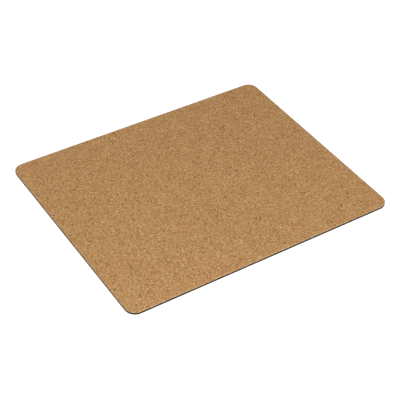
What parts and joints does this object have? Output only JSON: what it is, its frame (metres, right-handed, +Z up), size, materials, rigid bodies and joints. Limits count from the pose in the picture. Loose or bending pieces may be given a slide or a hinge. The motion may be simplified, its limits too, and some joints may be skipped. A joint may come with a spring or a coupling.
{
  "type": "mouse pad",
  "caption": "Flat rectangular desk mat with rounded corners: a thin fine-grain cork sheet bonded to a black rubber base with a studded non-slip underside.",
  "frame": {"origin": "middle of the underside, on the table", "axes": "+X along the long sides, +Y across the mat away from the user, +Z up through the cork"},
  "size_m": [0.22, 0.18, 0.0025],
  "materials": {
    "cork": "matte",
    "bonding_film": "satin",
    "black_rubber": "matte"
  },
  "bodies": {
    "root": {"cork_sheet": "cork", "adhesive_film": "bonding_film", "rubber_base": "black_rubber"}
  },
  "joints": []
}
